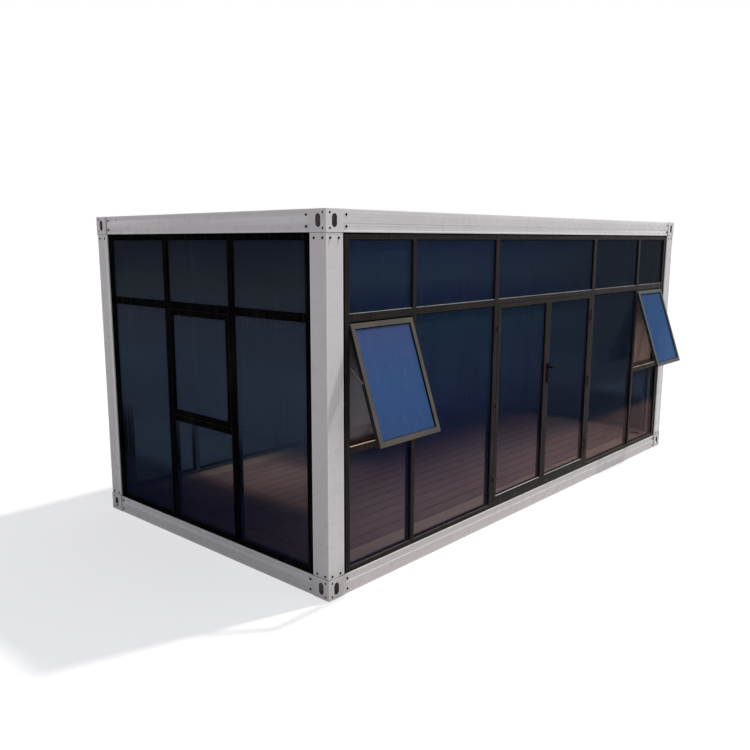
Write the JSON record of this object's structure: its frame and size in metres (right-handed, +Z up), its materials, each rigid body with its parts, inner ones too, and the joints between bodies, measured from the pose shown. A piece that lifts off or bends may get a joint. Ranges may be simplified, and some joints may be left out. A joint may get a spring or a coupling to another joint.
{
  "type": "glazed container cabin",
  "caption": "Flat-roofed steel container-frame cabin with tinted glazing on every side, a double door, awning windows and slotted corner fittings.",
  "frame": {"origin": "on the ground at the middle of the footprint, which is the middle of the four ground slots", "axes": "+Z up, X along the long faces, the double door faces -Y"},
  "size_m": [6, 3.282, 2.8],
  "materials": {
    "white_steel": "satin off-white paint",
    "galvanised_steel": "galvanised",
    "roof_paint": "pale grey coated sheet",
    "floor_wood": "brown boards, satin",
    "ceiling_paint": "matt white panels",
    "dark_frame": "dark brown-black powder coat",
    "tinted_glass": "dark blue-grey tint",
    "sash_glass": "mid blue tint",
    "fly_mesh": "dark grey woven mesh",
    "rubber_seal": "matt black",
    "dark_hardware": "satin black"
  },
  "bodies": {
    "cabin": {"front_left_post": "white_steel", "front_right_post": "white_steel", "back_left_post": "white_steel", "back_right_post": "white_steel", "top_fittings": "white_steel", "bottom_fittings": "white_steel", "top_beam_front": "white_steel", "top_beam_back": "white_steel", "top_beam_left": "white_steel", "top_beam_right": "white_steel", "bottom_beam_front": "white_steel", "bottom_beam_back": "white_steel", "bottom_beam_left": "white_steel", "bottom_beam_right": "white_steel", "floor_joists": "galvanised_steel", "floor_panel": "floor_wood", "underside_sheet": "galvanised_steel", "roof_joists": "galvanised_steel", "roof_sheet": "roof_paint", "ceiling_panel": "ceiling_paint", "front_mullions": "dark_frame", "front_rails": "dark_frame", "front_glass": "tinted_glass", "back_mullions": "dark_frame", "back_rails": "dark_frame", "back_glass": "tinted_glass", "left_mullions": "dark_frame", "left_rails": "dark_frame", "left_glass": "tinted_glass", "right_mullions": "dark_frame", "right_rails": "dark_frame", "right_glass": "tinted_glass", "post_seals": "rubber_seal", "window_linings": "dark_frame", "end_sashes": "dark_frame", "end_sash_glass": "tinted_glass", "front_left_sash": "dark_frame", "front_right_sash": "dark_frame", "open_sash_glass": "sash_glass", "window_stays": "dark_hardware", "fly_screens": "fly_mesh", "hinge_pins": "dark_hardware"},
    "left_leaf": {"left_door": "dark_frame", "left_door_glass": "tinted_glass", "left_door_hinges": "dark_hardware"},
    "right_leaf": {"right_door": "dark_frame", "right_door_glass": "tinted_glass", "right_door_hinges": "dark_hardware", "handle_plate": "dark_hardware"},
    "lever": {"door_handle": "dark_hardware"}
  },
  "joints": [
    {"name": "left_door_swing", "type": "hinge", "parent": "cabin", "child": "left_leaf", "pos_m": [-0.8475, -1.496, 1.1135], "axis": [0, 0, -1], "range_deg": [0, 90]},
    {"name": "right_door_swing", "type": "hinge", "parent": "cabin", "child": "right_leaf", "pos_m": [0.9375, -1.496, 1.1135], "axis": [0, 0, 1], "range_deg": [0, 90]},
    {"name": "lever_press", "type": "hinge", "parent": "right_leaf", "child": "lever", "pos_m": [0.07, -1.463, 1.362], "axis": [0, 1, 0], "range_deg": [0, 40], "stiffness_Nm_per_rad": 1.5, "springref_deg": -28.65}
  ]
}
